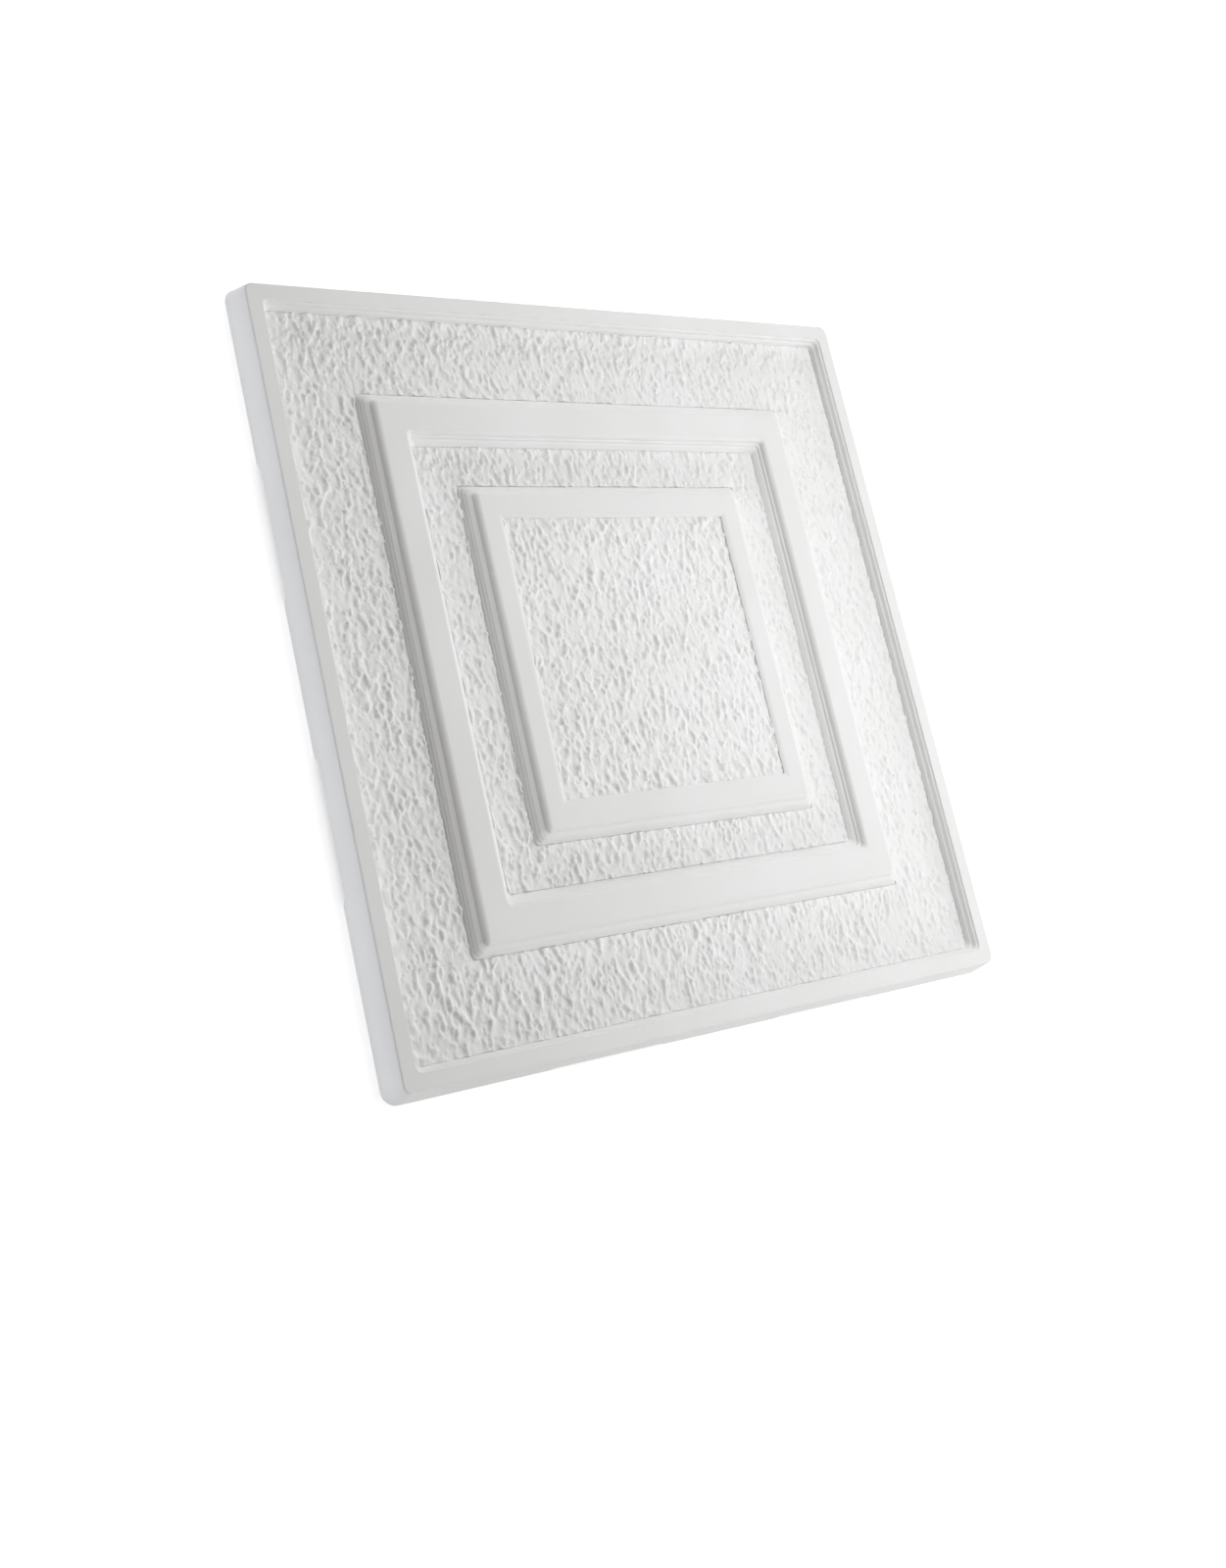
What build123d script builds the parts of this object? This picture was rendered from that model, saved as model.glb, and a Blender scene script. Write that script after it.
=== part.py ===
from build123d import *
from math import hypot
import os

# Square cast plaster ceiling tile, laid face up.
# The origin is the middle of the back, on the plane of its edge pads.
# X and Y run along the sides and Z points out of the patterned face.
# All sizes are in millimetres.

# Overall size
overall_size = 595.0
thickness = 23.0
side_draft = 5.0
front_corner_radius = 6.5
front_arris_radius = 1.5

# Depths of the face below its rim, at the bottom of the stipple
field_depth = 11.8
centre_depth = 3.2

# Rim, and the softened steps down its inner side as the inset and depth of each corner
rim_width = 12.0
rim_corner_radius = 5.0
rim_steps = [(0.5, 1.6), (1.6, 2.4), (2.2, 5.6), (3.4, 6.8)]
rim_foot_inset = 4.4

# Softened steps up the outer side of both raised frames as the inset and depth of each corner
outer_steps = [(0.8, 10.0), (1.6, 9.3), (2.3, 7.6), (3.1, 6.9), (4.0, 5.7), (7.4, 3.9)]

# Lean of the slope that each outer quarter round is cut from, and the part of it left straight
outer_round_lean = 1.05
outer_round_rise = 0.2

# Middle frame, and the softened steps down its inner side as the inset and depth of each corner
middle_frame_size = 426.4
middle_frame_width = 41.8
middle_corner_radius = 3.0
middle_steps = [(0.9, 4.4), (2.3, 5.1), (2.9, 6.9), (4.5, 7.7), (6.5, 9.8)]
middle_foot_inset = 7.8

# Part left straight under the middle frame's inner quarter round
middle_round_rise = 1.4

# Inner frame, and the curved edge that leads down to the centre panel
inner_frame_size = 280.4
inner_frame_width = 29.7
centre_edge_run = 4.6
centre_edge_drop = 1.4

# Back, with raised pads at the corners and at the middle of each side
back_rim_width = 22.5
pad_height = 2.8
middle_pad_length = 110.0
gap_length = 106.0
gap_end_run = 6.0


def round_radius(lean, depth, rise):
    """Radius of a quarter round that leaves this much of the slope under it straight."""
    slope = hypot(lean, depth)
    return (slope - rise) * depth / (slope - lean)


# Sizes that follow from the ones above
rim_level = thickness
centre_level = rim_level - centre_depth
front_size = overall_size - 2 * side_draft
back_corner_radius = front_corner_radius + side_draft
rim_opening_size = front_size - 2 * rim_width
outer_round_radius = round_radius(outer_round_lean, outer_steps[-1][1], outer_round_rise)
middle_round_radius = round_radius(*middle_steps[0], middle_round_rise)
middle_opening_size = middle_frame_size - 2 * (middle_frame_width - middle_foot_inset)
centre_size = inner_frame_size - 2 * inner_frame_width


def rounded_square(size, radius, level):
    """A square face with rounded corners at the given level."""
    return Pos(0, 0, level) * RectangleRounded(size, size, radius)


def stepped_block(size, radius, corners):
    """A block whose sides run in straight slopes through corners given as inset and depth."""
    return loft(
        [rounded_square(size - 2 * inset, radius, rim_level - depth) for inset, depth in corners],
        ruled=True,
    )


def stepped_opening(size, radius, steps, foot_inset):
    """The space of an opening that goes down in steps from the rim to its foot on the field."""
    return stepped_block(size, radius, [(0, 0), *steps, (foot_inset, field_depth)])


def raised_block(size):
    """A flat-topped block whose sides climb in steps from the field to a quarter round."""
    top_inset = outer_steps[-1][0] + outer_round_lean
    block = stepped_block(size, outer_round_radius, [(0, field_depth), *outer_steps, (top_inset, 0)])
    return fillet(block.faces().sort_by(Axis.Z)[-1].edges(), outer_round_radius)


def mitred_run(section, size):
    """Run a moulding section along a square and mitre it at the corners."""
    half = size / 2
    path = Polyline((half, 0), (half, half), (-half, half), (-half, -half), (half, -half), close=True)
    return sweep(Plane.XZ * section, path=path, transition=Transition.RIGHT)


# Blank with drafted sides and conical corners
blank = loft(
    [
        rounded_square(overall_size, back_corner_radius, 0),
        rounded_square(front_size, front_corner_radius, rim_level),
    ],
    ruled=True,
)
tile = fillet(blank.faces().sort_by(Axis.Z)[-1].edges(), front_arris_radius)

# Sunk field with a stepped edge
tile -= stepped_opening(rim_opening_size, rim_corner_radius, rim_steps, rim_foot_inset)

# Middle frame, whose opening has a quarter round at its top edge
frame = raised_block(middle_frame_size)
frame -= stepped_opening(middle_opening_size, middle_corner_radius, middle_steps, middle_foot_inset)
inner_arris = frame.faces().sort_by(Axis.Z)[-1].inner_wires()[0].edges()
tile += fillet(inner_arris, middle_round_radius)

# Inner frame and the centre panel sunk in it behind a curved edge
block = raised_block(inner_frame_size)
block -= Pos(0, 0, centre_level) * Box(
    centre_size,
    centre_size,
    centre_depth,
    align=(Align.CENTER, Align.CENTER, Align.MIN),
)
edge_start = (centre_size / 2 + centre_edge_run, rim_level)
edge_end = (centre_size / 2, rim_level - centre_edge_drop)
edge_curve = TangentArc(edge_start, edge_end, tangent=(-1, 0))
edge_lines = Polyline(edge_end, (edge_end[0], rim_level), edge_start)
tile += block - mitred_run(make_face([edge_curve, edge_lines]), centre_size)

# Back pan, open through two shallow gaps in each side
tile -= extrude(rounded_square(overall_size - 2 * back_rim_width, back_corner_radius, 0), amount=pad_height)
gap_foot = gap_length / 2
gap_top = gap_foot - gap_end_run
gap_section = make_face(
    Polyline((-gap_foot, 0), (gap_foot, 0), (gap_top, pad_height), (-gap_top, pad_height), close=True)
)
gap = extrude(Plane.XZ * gap_section, amount=overall_size / 2, both=True)
gap_offset = (middle_pad_length + gap_length) / 2
gaps = [Pos(side * gap_offset, 0, 0) * gap for side in (-1, 1)]
tile -= gaps
tile -= [Rot(0, 0, 90) * cut for cut in gaps]

os.makedirs("parts", exist_ok=True)
export_step(tile, "parts/ceiling_tile.step")
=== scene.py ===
import bpy
import numpy as np
from mathutils import Matrix, Vector


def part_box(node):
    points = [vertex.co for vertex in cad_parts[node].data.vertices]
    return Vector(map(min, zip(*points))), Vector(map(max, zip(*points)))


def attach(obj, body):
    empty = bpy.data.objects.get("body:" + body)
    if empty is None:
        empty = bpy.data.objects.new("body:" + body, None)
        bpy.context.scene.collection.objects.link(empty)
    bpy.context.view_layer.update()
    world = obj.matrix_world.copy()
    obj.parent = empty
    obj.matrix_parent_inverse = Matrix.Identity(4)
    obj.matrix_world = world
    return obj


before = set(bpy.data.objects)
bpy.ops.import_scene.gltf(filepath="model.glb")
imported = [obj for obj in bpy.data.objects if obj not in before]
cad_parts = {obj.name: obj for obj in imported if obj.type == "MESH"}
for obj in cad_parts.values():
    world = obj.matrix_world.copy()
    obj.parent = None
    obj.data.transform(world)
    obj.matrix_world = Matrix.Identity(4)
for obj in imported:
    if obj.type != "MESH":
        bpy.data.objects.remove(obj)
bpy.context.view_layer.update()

low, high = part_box("ceiling_tile")
mm = 0.001

# Sizes of the face, as in the CAD
side_draft = 5 * mm
field_depth = 11.8 * mm
centre_depth = 3.2 * mm
rim_width = 12 * mm
rim_foot_inset = 4.4 * mm
middle_frame_half = 213.2 * mm
middle_frame_width = 41.8 * mm
inner_frame_half = 140.2 * mm
inner_frame_width = 29.7 * mm

# Levels and rings of the face
half_front = high.x - side_draft
rim_level = high.z
field_level = rim_level - field_depth
centre_level = rim_level - centre_depth
field_outer = half_front - rim_width - rim_foot_inset
middle_opening_half = middle_frame_half - middle_frame_width
centre_half = inner_frame_half - inner_frame_width


# Stipple

# Grid of the relief, over the whole face inside the rim
step = 0.75 * mm
grid_half = 277 * mm
grid_count = int(round(2 * grid_half / step)) + 1

# Sheets of stipple: how far they reach under the mouldings, below the face and above it as a base
overlap = 0.4 * mm
sheet_depth = 0.4 * mm
sheet_base = 0.1 * mm

# Wavelengths of the relief in X and in Y
swell_size = (17 * mm, 28 * mm)
wave_size = (9 * mm, 15 * mm)
lump_size = (5.2 * mm, 7.5 * mm)
grain_size = (2.6 * mm, 2.8 * mm)
patch_size = (20 * mm, 30 * mm)
area_size = (60 * mm, 60 * mm)
pit_size = (7 * mm, 12 * mm)
gap_size = (6 * mm, 6 * mm)

# Share of each part in the relief, and how much of its middle band is pressed flat
swell_share = 0.28
wave_share = 0.8
wave_flat = 0.5
wave_steepness = 2.1
lump_share = 0.34
lump_flat = 0.6
grain_share = 0.06

# Pits lie where their noise is above the start
pit_share = 0.9
pit_start = 1.5
pit_slope = 0.45

# Plain and rich patches, of which the plainest keep a share of the relief
patch_mean = 0.55
patch_spread = 0.4
area_spread = 0.25
rich_strength = 1.16
plain_share = 0.22

# Strength at the middle of the tile, and how much weaker it is at the right and stronger at the left
middle_strength = 1.1
side_change = 0.36

# Height over the base
mean_height = 0.95 * mm
height_scale = 1.25 * mm
height_limit = 2.6 * mm

rng = np.random.default_rng(17)


def band_noise(size, sharp=1.0):
    """Smooth noise with unit spread whose waves are about this long in X and in Y."""
    across = np.fft.fftfreq(grid_count, step)[None, :] * size[0]
    along = np.fft.fftfreq(grid_count, step)[:, None] * size[1]
    square = across * across + along * along
    power = (square ** sharp) * np.exp(-sharp * square)
    white = rng.standard_normal((grid_count, grid_count))
    noise = np.fft.ifft2(np.fft.fft2(white) * np.sqrt(power)).real
    return noise / noise.std()


def smooth(t):
    """A soft step from 0 to 1."""
    t = np.clip(t, 0, 1)
    return t * t * (3 - 2 * t)


def flats(noise, level):
    """Noise with its middle band pressed flat."""
    return np.sign(noise) * np.maximum(np.abs(noise) - level, 0)


swell = swell_share * band_noise(swell_size)
waves = wave_share * np.tanh(wave_steepness * flats(band_noise(wave_size, 1.3), wave_flat))
lumps = lump_share * flats(band_noise(lump_size, 1.3), lump_flat)
grain = grain_share * band_noise(grain_size, 1.5)
patch = smooth(patch_mean + patch_spread * band_noise(patch_size) + area_spread * band_noise(area_size))
pits = pit_share * smooth((band_noise(pit_size, 2.0) - pit_start) / pit_slope)
strength = rich_strength * (plain_share + (1 - plain_share) * patch)
pattern = strength * (swell + waves + lumps + grain) - pits
to_right = (np.arange(grid_count) * step - grid_half) / grid_half
pattern *= middle_strength - side_change * to_right
height = np.clip(mean_height + height_scale * pattern, 0, height_limit)

# The stipple stops raggedly short of the walls that face left, and a little short of those along X.
# Each foot of a wall has its distance from the middle of the tile, and its share of the gap.
# The share is negative where the wall stands outside the stipple.
gap_mean = 0.8 * mm
gap_spread = 0.35 * mm
gap_limit = 1.4 * mm
gap_reach = 3.6 * mm
gap_share_in_y = 0.3
gap = np.clip(gap_mean + gap_spread * band_noise(gap_size), 0, gap_limit)
feet = (
    (field_outer, -1.1),
    (middle_frame_half, 1.3),
    (middle_opening_half, -1.1),
    (inner_frame_half, 1.3),
    (centre_half, -1.0),
)


def lines(start, end):
    """Evenly spaced grid lines, about a step apart."""
    return np.linspace(start, end, int(round((end - start) / step)) + 1)


def sampler(xs, ys):
    """A function that reads a grid of the relief where these lines cross."""
    across = (xs + grid_half) / step
    along = (ys + grid_half) / step
    column = np.clip(across.astype(int), 0, grid_count - 2)
    row = np.clip(along.astype(int), 0, grid_count - 2)
    right = (across - column)[None, :]
    up = (along - row)[:, None]

    def sample(grid):
        near = grid[np.ix_(row, column)] * (1 - right) + grid[np.ix_(row, column + 1)] * right
        far = grid[np.ix_(row + 1, column)] * (1 - right) + grid[np.ix_(row + 1, column + 1)] * right
        return near * (1 - up) + far * up

    return sample


def stipple_top(xs, ys, level):
    """Points of the stipple where these lines cross, drawn back from the walls."""
    sample = sampler(xs, ys)
    x, y = np.meshgrid(xs, ys)
    reach = np.maximum(np.abs(x), np.abs(y))
    shift = sample(gap) * sum(share * smooth(1 - np.abs(reach - foot) / gap_reach) for foot, share in feet)
    on_x = np.abs(x) > np.abs(y)
    shift_x = np.where(on_x, np.minimum(np.sign(x) * shift, 0), 0)
    shift_y = np.where(on_x, 0, gap_share_in_y * np.sign(y) * shift)
    return np.stack([x + shift_x, y + shift_y, level + sheet_base + sample(height)], -1)


def stipple_sheet(name, xs, ys, level):
    """A closed sheet of stipple over the rectangle that these lines cover."""
    top = stipple_top(xs, ys, level).reshape(-1, 3)
    index = np.arange(len(top)).reshape(len(ys), len(xs))
    quads = np.stack([index[:-1, :-1], index[:-1, 1:], index[1:, 1:], index[1:, :-1]], -1).reshape(-1, 4)
    ring = np.concatenate([index[0, :-1], index[:-1, -1], index[-1, :0:-1], index[:0:-1, 0]])
    bottom = top[ring].copy()
    bottom[:, 2] = level - sheet_depth
    under = len(top) + np.arange(len(ring))
    walls = np.stack([ring, under, np.roll(under, -1), np.roll(ring, -1)], -1)
    faces = quads.tolist() + walls.tolist() + [under[::-1].tolist()]
    mesh = bpy.data.meshes.new(name)
    mesh.from_pydata(np.concatenate([top, bottom]).tolist(), [], faces)
    mesh.polygons.foreach_set("use_smooth", [True] * len(quads) + [False] * (len(walls) + 1))
    mesh.update()
    sheet = bpy.data.objects.new(name, mesh)
    bpy.context.scene.collection.objects.link(sheet)
    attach(sheet, "root")
    return sheet


def stipple_ring(name, outer, inner, level):
    """Four sheets that turn round a square, end to side, with shared grid lines where they meet."""
    inner -= overlap
    band = lines(inner, outer + overlap)
    opening = lines(-inner, inner)
    upper = np.concatenate([opening, band[1:]])
    lower = -upper[::-1]
    return [
        stipple_sheet(name + "_right", band, lower, level),
        stipple_sheet(name + "_top", upper, band, level),
        stipple_sheet(name + "_left", -band[::-1], upper, level),
        stipple_sheet(name + "_bottom", lower, -band[::-1], level),
    ]


sheets = stipple_ring("outer_stipple", field_outer, middle_frame_half, field_level)
sheets += stipple_ring("inner_stipple", middle_opening_half, inner_frame_half, field_level)
across = lines(-centre_half - overlap, centre_half + overlap)
sheets.append(stipple_sheet("centre_stipple", across, across, centre_level))


# Materials

def new_material(name):
    """An empty node material, with its nodes and its links."""
    material = bpy.data.materials.new(name)
    material.use_nodes = True
    nodes = material.node_tree.nodes
    nodes.clear()
    return material, nodes, material.node_tree.links


def plaster(name, grain_strength, shade):
    """White plaster with faint clouds of tone and a fine grain."""
    material, nodes, links = new_material(name)
    out = nodes.new("ShaderNodeOutputMaterial")
    bsdf = nodes.new("ShaderNodeBsdfPrincipled")
    bsdf.inputs["Roughness"].default_value = 0.8
    bsdf.inputs["Specular IOR Level"].default_value = 0.25
    place = nodes.new("ShaderNodeTexCoord")
    cloud = nodes.new("ShaderNodeTexNoise")
    cloud.inputs["Scale"].default_value = 14
    cloud.inputs["Detail"].default_value = 4
    ramp = nodes.new("ShaderNodeValToRGB")
    dark, pale = ramp.color_ramp.elements
    dark.position = 0.3
    dark.color = (shade, shade, shade - 0.005, 1)
    pale.position = 0.7
    pale.color = (shade + 0.03, shade + 0.032, shade + 0.03, 1)
    fine = nodes.new("ShaderNodeTexNoise")
    fine.inputs["Scale"].default_value = 900
    fine.inputs["Detail"].default_value = 3
    bump = nodes.new("ShaderNodeBump")
    bump.inputs["Strength"].default_value = grain_strength
    bump.inputs["Distance"].default_value = 0.3 * mm
    links.new(place.outputs["Object"], cloud.inputs["Vector"])
    links.new(place.outputs["Object"], fine.inputs["Vector"])
    links.new(cloud.outputs["Fac"], ramp.inputs["Fac"])
    links.new(ramp.outputs["Color"], bsdf.inputs["Base Color"])
    links.new(fine.outputs["Fac"], bump.inputs["Height"])
    links.new(bump.outputs["Normal"], bsdf.inputs["Normal"])
    links.new(bsdf.outputs["BSDF"], out.inputs["Surface"])
    return material


smooth_plaster = plaster("smooth_plaster", 0.15, 0.8)
# The rough plaster is the same plaster as the smooth, written lighter as a painted lift that offsets the
# shade its own stipple casts on itself
rough_plaster_painted_lighter = plaster("rough_plaster_painted_lighter", 0.4, 0.836)
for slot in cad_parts["ceiling_tile"].material_slots:
    slot.material = smooth_plaster
for sheet in sheets:
    sheet.data.materials.append(rough_plaster_painted_lighter)


# Floor

floor_half = 6.0
floor_drop = 0.1 * mm

# The camera sees the floor lifted to white, and more so away from the tile, where less light falls
near_lift = 0.52
far_lift = 0.8
near_distance = 1.4 * half_front
far_distance = 4 * half_front


def background_rays(nodes, links):
    """1 for the rays that show the background straight, mirrored or through glass, and 0 for the rest."""
    path = nodes.new("ShaderNodeLightPath")
    shown = path.outputs["Is Camera Ray"]
    for kind in ("Is Glossy Ray", "Is Transmission Ray"):
        either = nodes.new("ShaderNodeMath")
        either.operation = "MAXIMUM"
        links.new(shown, either.inputs[0])
        links.new(path.outputs[kind], either.inputs[1])
        shown = either.outputs["Value"]
    return shown


def floor_white():
    """A plain pale floor that keeps the tile's shadow."""
    material, nodes, links = new_material("floor_white")
    out = nodes.new("ShaderNodeOutputMaterial")
    diffuse = nodes.new("ShaderNodeBsdfDiffuse")
    diffuse.inputs["Color"].default_value = (0.82, 0.82, 0.82, 1)
    place = nodes.new("ShaderNodeTexCoord")
    away = nodes.new("ShaderNodeVectorMath")
    away.operation = "LENGTH"
    fade = nodes.new("ShaderNodeMapRange")
    fade.inputs["From Min"].default_value = near_distance
    fade.inputs["From Max"].default_value = far_distance
    fade.inputs["To Min"].default_value = near_lift
    fade.inputs["To Max"].default_value = far_lift
    lift = nodes.new("ShaderNodeMath")
    lift.operation = "MULTIPLY"
    glow = nodes.new("ShaderNodeEmission")
    add = nodes.new("ShaderNodeAddShader")
    links.new(place.outputs["Object"], away.inputs[0])
    links.new(away.outputs["Value"], fade.inputs["Value"])
    links.new(background_rays(nodes, links), lift.inputs[0])
    links.new(fade.outputs["Result"], lift.inputs[1])
    links.new(lift.outputs["Value"], glow.inputs["Strength"])
    links.new(diffuse.outputs["BSDF"], add.inputs[0])
    links.new(glow.outputs["Emission"], add.inputs[1])
    links.new(add.outputs["Shader"], out.inputs["Surface"])
    return material


corners = [(-1, -1), (1, -1), (1, 1), (-1, 1)]
mesh = bpy.data.meshes.new("floor")
mesh.from_pydata([(x * floor_half, y * floor_half, 0) for x, y in corners], [], [(0, 1, 2, 3)])
mesh.materials.append(floor_white())
floor = bpy.data.objects.new("floor", mesh)
floor.location.z = low.z - floor_drop
bpy.context.scene.collection.objects.link(floor)


# Light

def studio_world():
    """A weak, slightly warm light from all round, that the camera sees as plain pale grey."""
    world = bpy.data.worlds.new("studio")
    world.use_nodes = True
    nodes = world.node_tree.nodes
    links = world.node_tree.links
    nodes.clear()
    out = nodes.new("ShaderNodeOutputWorld")
    sky = nodes.new("ShaderNodeBackground")
    sky.inputs["Color"].default_value = (1.0, 0.975, 0.945, 1)
    sky.inputs["Strength"].default_value = 0.205
    backdrop = nodes.new("ShaderNodeBackground")
    backdrop.inputs["Strength"].default_value = 1.0
    mix = nodes.new("ShaderNodeMixShader")
    links.new(background_rays(nodes, links), mix.inputs["Fac"])
    links.new(sky.outputs["Background"], mix.inputs[1])
    links.new(backdrop.outputs["Background"], mix.inputs[2])
    links.new(mix.outputs["Shader"], out.inputs["Surface"])
    return world


def soft_light(name, place, size, power, colour=(1, 1, 1), aim=(0, 0, 0)):
    """A rectangular lamp that the camera doesn't see, with its size in metres and its power in watts."""
    light = bpy.data.lights.new(name, "AREA")
    light.shape = "RECTANGLE"
    light.size, light.size_y = size
    light.energy = power
    light.color = colour
    lamp = bpy.data.objects.new(name, light)
    lamp.location = place
    lamp.rotation_euler = (Vector(aim) - Vector(place)).to_track_quat("-Z", "Y").to_euler()
    lamp.visible_camera = False
    bpy.context.scene.collection.objects.link(lamp)


bpy.context.scene.world = studio_world()
soft_light("over", (0.32, 0, 0.75), (0.9, 0.6), 4.06, (0.985, 0.995, 1.0))
soft_light("low_right", (1.2, 0, 0.35), (0.8, 0.5), 1.95)
soft_light("near_right", (0.95, -0.95, 0.5), (0.7, 0.5), 3.9)
soft_light("near_side", (0, -1.4, 0.3), (0.8, 0.4), 2.86)
soft_light("far_side", (0, 1.4, 0.3), (0.8, 0.4), 5.1)
soft_light("near_high", (0, -0.8, 1.1), (0.9, 0.6), 0.87)
soft_light("far_high", (0, 0.8, 1.1), (0.9, 0.6), 2.07)

# A strip low at the left side lights it and leaves the edge above it in shade
strip_distance = 45 * mm
strip_size = (0.7, 15 * mm)
strip_power = 0.095
strip_colour = (0.93, 0.95, 1.0)
strip_level = low.z + strip_size[1] / 2
strip_place = (low.x - strip_distance, 0, strip_level)
strip_aim = (low.x, 0, strip_level)
soft_light("strip", strip_place, strip_size, strip_power, strip_colour, strip_aim)


# Camera, found by fitting the tile's outline and inner squares to the photograph

sight_right = Vector((0.78422732, -0.22183216, 0.57946355))
sight_down = Vector((-0.04815162, -0.95284735, -0.29960533))
sight_forward = Vector((0.6186024, 0.20705658, -0.7579305))
image_width = 1251
image_height = 1600
focal_pixels = 1934.3
principal_x = 625.5
principal_y = 659.5

# The eye's place was fitted from the middle of the front, for a front of this half size
fitted_half_front = 297.5 * mm
fitted_eye = Vector((-956.88, -304.27, 1128.87)) * mm
eye = fitted_eye * (half_front / fitted_half_front) + Vector((0, 0, rim_level))

data = bpy.data.cameras.new("camera")
data.sensor_width = 36
data.lens = data.sensor_width * focal_pixels / image_height
data.shift_x = (image_width / 2 - principal_x) / image_height
data.shift_y = (principal_y - image_height / 2) / image_height
data.clip_end = 50
camera = bpy.data.objects.new("camera", data)
turn = Matrix((sight_right, -sight_down, -sight_forward)).transposed()
camera.matrix_world = Matrix.Translation(eye) @ turn.to_4x4()
bpy.context.scene.collection.objects.link(camera)
bpy.context.scene.camera = camera
bpy.context.scene.view_settings.view_transform = "Standard"
